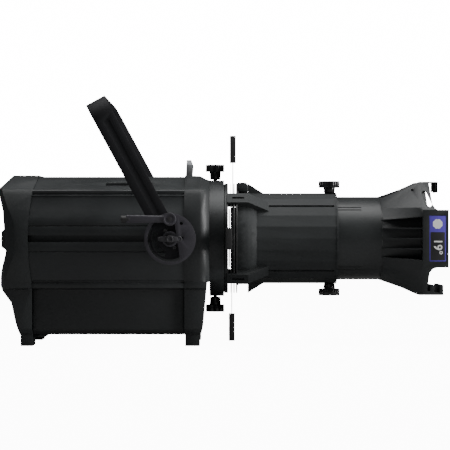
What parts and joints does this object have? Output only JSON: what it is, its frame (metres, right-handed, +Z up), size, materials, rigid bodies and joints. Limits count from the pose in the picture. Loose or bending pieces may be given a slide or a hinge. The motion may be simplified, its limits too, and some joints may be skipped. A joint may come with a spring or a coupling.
{
  "type": "ellipsoidal spotlight",
  "caption": "LED profile spotlight: finned lamp housing with yoke, rotating barrel with framing shutters, sliding lens tube and square colour frame holder.",
  "frame": {"origin": "centre of the bounding box at floor level, on the feet", "axes": "+X along the beam, +Y to the left of the light, +Z up"},
  "size_m": [0.6532, 0.37, 0.3609],
  "materials": {
    "black_extrusion": "black powder-coated aluminium extrusion",
    "black_sheet": "black powder-coated aluminium sheet",
    "black_casting": "black powder-coated die-cast aluminium",
    "panel_plastic": "black moulded plastic",
    "display_glass": "dark display window",
    "rubber": "black rubber",
    "bare_aluminium": "plain aluminium",
    "circuit_board": "green circuit board",
    "led_lens": "LED domes",
    "optical_glass": "clear coated glass",
    "socket_plastic": "moulded power socket",
    "socket_metal": "nickel-plated data socket",
    "yoke_paint": "black powder-coated steel strip",
    "clamp_paint": "dark grey coated clamp parts",
    "bolt_steel": "zinc-plated steel",
    "gate_metal": "blackened steel gate plates",
    "tube_black": "black satin anodised tube",
    "label_violet": "printed violet and black label",
    "clip_spring_steel": "blackened spring steel",
    "knob_plastic": "glossy black moulded knob",
    "blade_steel": "plain stainless steel",
    "grip_plastic": "black moulded insulating grip",
    "key_rubber": "rubber key"
  },
  "bodies": {
    "housing": {"main_shell": "black_extrusion", "power_box": "black_sheet", "rear_cap": "black_casting", "control_panel": "panel_plastic", "display_window": "display_glass", "front_casting": "black_casting", "safety_eye": "bare_aluminium", "rubber_feet": "rubber", "heat_sink": "bare_aluminium", "fan_frame": "panel_plastic", "led_board": "circuit_board", "led_array": "led_lens", "mixing_rod": "optical_glass", "rod_holder": "bare_aluminium", "condenser_lens": "optical_glass", "condenser_mount": "bare_aluminium", "power_supply": "bare_aluminium", "control_board": "circuit_board", "connector_panel": "black_sheet", "power_inlet": "socket_plastic", "power_outlet": "socket_plastic", "data_in": "socket_metal", "data_out": "socket_metal", "pivot_bosses": "black_casting"},
    "yoke": {"yoke_bracket": "yoke_paint", "tilt_plates": "clamp_paint", "pivot_bolts": "bolt_steel", "clamp_screws": "bolt_steel"},
    "lever_left": {"tilt_lever_left": "clamp_paint"},
    "lever_right": {"tilt_lever_right": "clamp_paint"},
    "barrel": {"gate_flange": "black_casting", "gate_plates": "gate_metal", "barrel_shell": "black_casting", "slot_cover": "black_casting", "gate_screws": "bolt_steel"},
    "lens_unit": {"lens_tube": "tube_black", "rear_lens": "optical_glass", "front_lens": "optical_glass", "lens_rings": "tube_black", "front_holder": "black_casting", "label_plates": "label_violet", "clip_pin": "bolt_steel"},
    "frame_retainer": {"frame_clip": "clip_spring_steel"},
    "fan": {"fan_rotor": "panel_plastic"},
    "lock_knob_top": {"barrel_lock_top": "knob_plastic"},
    "lock_knob_bottom": {"barrel_lock_bottom": "knob_plastic"},
    "focus_knob_top": {"focus_lock_top": "knob_plastic"},
    "focus_knob_bottom": {"focus_lock_bottom": "knob_plastic"},
    "shutter_top": {"shutter_blade_top": "blade_steel", "shutter_grip_top": "grip_plastic"},
    "shutter_right": {"shutter_blade_right": "blade_steel", "shutter_grip_right": "grip_plastic"},
    "shutter_bottom": {"shutter_blade_bottom": "blade_steel", "shutter_grip_bottom": "grip_plastic"},
    "shutter_left": {"shutter_blade_left": "blade_steel", "shutter_grip_left": "grip_plastic"},
    "key_menu": {"button_menu": "key_rubber"},
    "key_up": {"button_up": "key_rubber"},
    "key_down": {"button_down": "key_rubber"},
    "key_enter": {"button_enter": "key_rubber"}
  },
  "joints": [
    {"name": "yoke_tilt", "type": "hinge", "parent": "housing", "child": "yoke", "pos_m": [-0.076, 0, 0.156], "axis": [0, 1, 0], "range_deg": [-31, 83]},
    {"name": "barrel_rotation", "type": "hinge", "parent": "housing", "child": "barrel", "pos_m": [0, 0, 0.156], "axis": [1, 0, 0], "range_deg": [-25, 25]},
    {"name": "focus_slide", "type": "slide", "parent": "barrel", "child": "lens_unit", "axis": [1, 0, 0], "range_m": [-0.045, 0]},
    {"name": "fan_spin", "type": "hinge", "parent": "housing", "child": "fan", "pos_m": [-0.263, 0, 0.1556], "axis": [1, 0, 0], "continuous": true},
    {"name": "clip_swing", "type": "hinge", "parent": "lens_unit", "child": "frame_retainer", "pos_m": [0.3015, 0, 0.237], "axis": [0, -1, 0], "range_deg": [0, 70], "stiffness_Nm_per_rad": 0.05, "springref_deg": -17.19},
    {"name": "lever_turn_left", "type": "hinge", "parent": "yoke", "child": "lever_left", "pos_m": [-0.076, 0.17, 0.184], "axis": [0, 1, 0], "range_deg": [-30, 120]},
    {"name": "lever_turn_right", "type": "hinge", "parent": "yoke", "child": "lever_right", "pos_m": [-0.076, -0.17, 0.184], "axis": [0, 1, 0], "range_deg": [-30, 120]},
    {"name": "barrel_lock_turn_top", "type": "hinge", "parent": "housing", "child": "lock_knob_top", "pos_m": [-0.013, 0, 0.256], "axis": [0, 0, 1], "range_deg": [-180, 180]},
    {"name": "focus_lock_turn_top", "type": "hinge", "parent": "barrel", "child": "focus_knob_top", "pos_m": [0.158, 0, 0.231], "axis": [0, 0, 1], "range_deg": [-180, 180]},
    {"name": "barrel_lock_turn_bottom", "type": "hinge", "parent": "housing", "child": "lock_knob_bottom", "pos_m": [-0.013, 0, 0.056], "axis": [0, 0, 1], "range_deg": [-180, 180]},
    {"name": "focus_lock_turn_bottom", "type": "hinge", "parent": "barrel", "child": "focus_knob_bottom", "pos_m": [0.158, 0, 0.081], "axis": [0, 0, 1], "range_deg": [-180, 180]},
    {"name": "shutter_slide_top", "type": "slide", "parent": "barrel", "child": "shutter_top", "axis": [0, 0, -1], "range_m": [0, 0.03]},
    {"name": "shutter_slide_right", "type": "slide", "parent": "barrel", "child": "shutter_right", "axis": [0, 1, 0], "range_m": [0, 0.03]},
    {"name": "shutter_slide_bottom", "type": "slide", "parent": "barrel", "child": "shutter_bottom", "axis": [0, 0, 1], "range_m": [0, 0.03]},
    {"name": "shutter_slide_left", "type": "slide", "parent": "barrel", "child": "shutter_left", "axis": [0, -1, 0], "range_m": [0, 0.03]},
    {"name": "key_press_menu", "type": "slide", "parent": "housing", "child": "key_menu", "axis": [1, 0, 0], "range_m": [0, 0.001], "stiffness_N_per_m": 400},
    {"name": "key_press_up", "type": "slide", "parent": "housing", "child": "key_up", "axis": [1, 0, 0], "range_m": [0, 0.001], "stiffness_N_per_m": 400},
    {"name": "key_press_down", "type": "slide", "parent": "housing", "child": "key_down", "axis": [1, 0, 0], "range_m": [0, 0.001], "stiffness_N_per_m": 400},
    {"name": "key_press_enter", "type": "slide", "parent": "housing", "child": "key_enter", "axis": [1, 0, 0], "range_m": [0, 0.001], "stiffness_N_per_m": 400}
  ]
}
